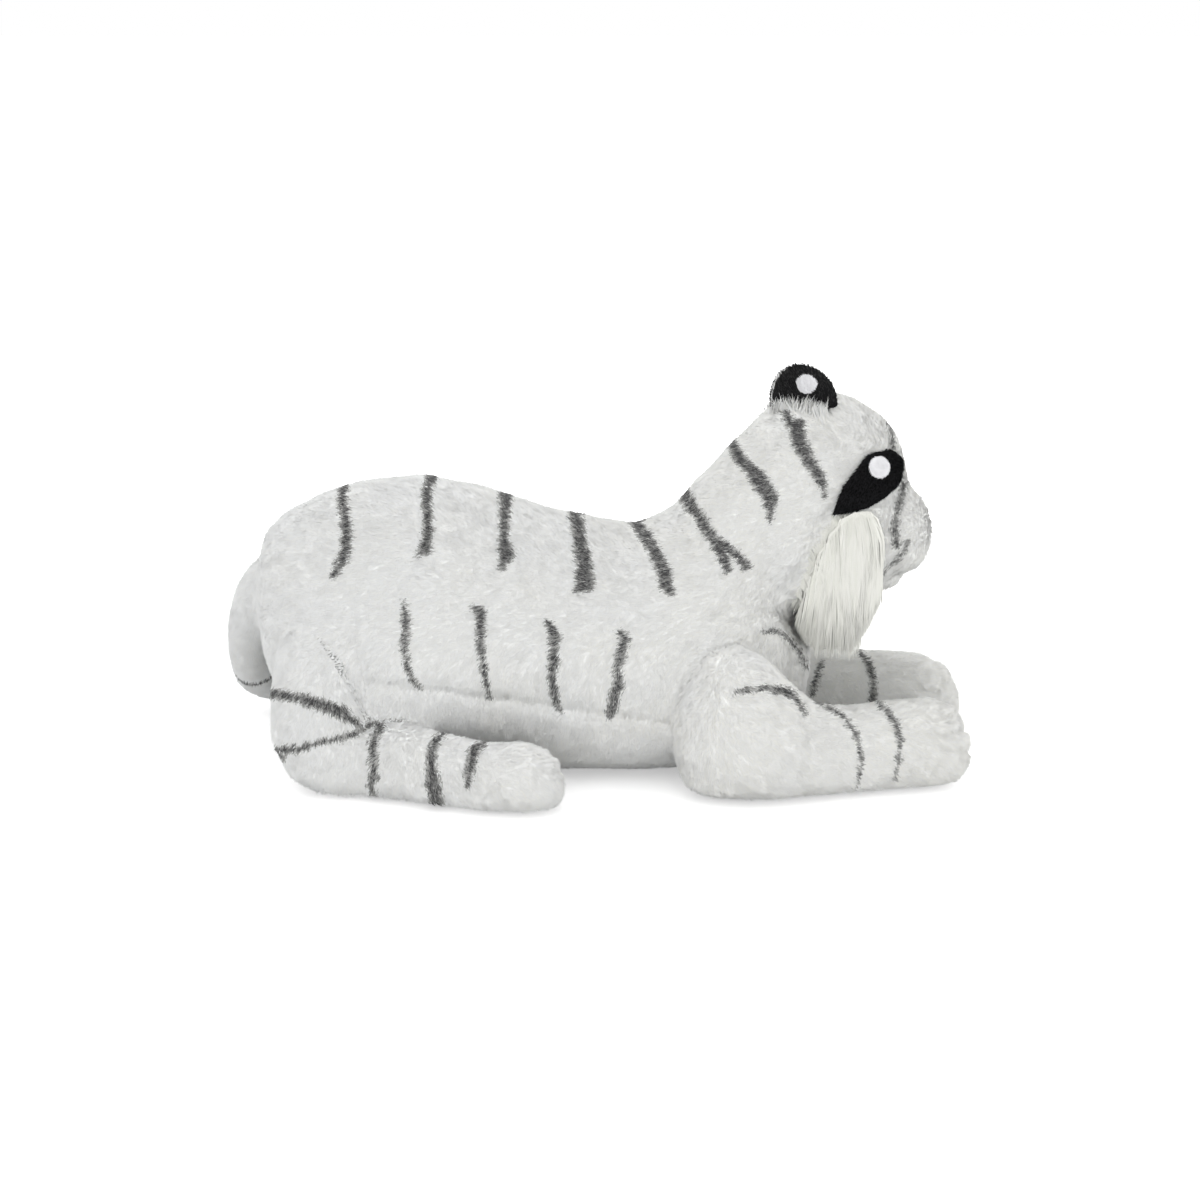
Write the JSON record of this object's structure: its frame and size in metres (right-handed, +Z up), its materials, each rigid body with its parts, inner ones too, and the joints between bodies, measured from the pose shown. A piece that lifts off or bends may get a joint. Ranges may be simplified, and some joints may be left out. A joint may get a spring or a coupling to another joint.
{
  "type": "plush tiger",
  "caption": "Large white stuffed tiger lying down with its head up, grey stripes, black round ears and eye patches, a long cream cheek ruff and a curled tail.",
  "frame": {"origin": "on the flat of the belly at floor height, on the body's centre line", "axes": "+X to the head, +Y to the toy's left, +Z up"},
  "size_m": [0.6507, 0.413, 0.3453],
  "materials": {
    "white_plush": "short matte pile with grey printed stripes",
    "cream_plush": "long silky pile",
    "black_plush": "short matte pile",
    "bright_plush": "short matte pile",
    "nose_velvet": "matte velvet",
    "filling": "loose polyester fibre"
  },
  "bodies": {
    "torso": {"body_side_right": "white_plush", "body_side_left": "white_plush", "belly_panel": "white_plush", "body_stuffing": "filling"},
    "head": {"head_side_right": "white_plush", "head_side_left": "white_plush", "head_stuffing": "filling", "chin": "white_plush", "nose": "nose_velvet", "cheek_ruff_right": "cream_plush", "cheek_ruff_left": "cream_plush", "muzzle_pad_right": "white_plush", "muzzle_pad_left": "white_plush", "eye_patch_right": "black_plush", "eye_patch_left": "black_plush", "eye_glint_right": "bright_plush", "eye_glint_left": "bright_plush"},
    "ear_right": {"ear_back_right": "black_plush", "ear_lining_right": "white_plush", "ear_spot_right": "bright_plush"},
    "ear_left": {"ear_back_left": "black_plush", "ear_lining_left": "white_plush", "ear_spot_left": "bright_plush"},
    "foreleg_right": {"foreleg_right": "white_plush", "foreleg_stuffing_right": "filling"},
    "foreleg_left": {"foreleg_left": "white_plush", "foreleg_stuffing_left": "filling"},
    "hind_leg_right": {"haunch_right": "white_plush", "haunch_stuffing_right": "filling", "hind_foot_right": "white_plush", "hind_foot_stuffing_right": "filling"},
    "hind_leg_left": {"haunch_left": "white_plush", "haunch_stuffing_left": "filling", "hind_foot_left": "white_plush", "hind_foot_stuffing_left": "filling"},
    "tail": {"tail": "white_plush", "tail_stuffing": "filling"}
  },
  "joints": [
    {"name": "head_turn", "type": "hinge", "parent": "torso", "child": "head", "pos_m": [0.115, 0, 0.184], "axis": [0.788, 0, 0.6157], "range_deg": [-12, 12], "stiffness_Nm_per_rad": 4},
    {"name": "ear_fold_right", "type": "hinge", "parent": "head", "child": "ear_right", "pos_m": [0.167, -0.01799, 0.3099], "axis": [-0.7986, 0.5927, -0.1045], "range_deg": [-12, 12], "stiffness_Nm_per_rad": 0.05},
    {"name": "ear_fold_left", "type": "hinge", "parent": "head", "child": "ear_left", "pos_m": [0.167, 0.04902, 0.29809], "axis": [0.7986, 0.5927, -0.1045], "range_deg": [-12, 12], "stiffness_Nm_per_rad": 0.05},
    {"name": "foreleg_swing_right", "type": "hinge", "parent": "torso", "child": "foreleg_right", "pos_m": [0.06, -0.108, 0], "axis": [0, 0, -1], "range_deg": [0, 12], "stiffness_Nm_per_rad": 2},
    {"name": "foreleg_swing_left", "type": "hinge", "parent": "torso", "child": "foreleg_left", "pos_m": [0.069, 0.108, 0], "axis": [0, 0, 1], "range_deg": [0, 12], "stiffness_Nm_per_rad": 2},
    {"name": "hind_leg_swing_right", "type": "hinge", "parent": "torso", "child": "hind_leg_right", "pos_m": [-0.28, -0.064, 0], "axis": [0, 0, -1], "range_deg": [0, 4], "stiffness_Nm_per_rad": 2},
    {"name": "hind_leg_swing_left", "type": "hinge", "parent": "torso", "child": "hind_leg_left", "pos_m": [-0.28, 0.064, 0], "axis": [0, 0, 1], "range_deg": [0, 4], "stiffness_Nm_per_rad": 2},
    {"name": "tail_swing", "type": "hinge", "parent": "torso", "child": "tail", "pos_m": [-0.284, 0.006, 0.158], "axis": [0, 0, 1], "range_deg": [0, 30], "stiffness_Nm_per_rad": 0.6}
  ]
}
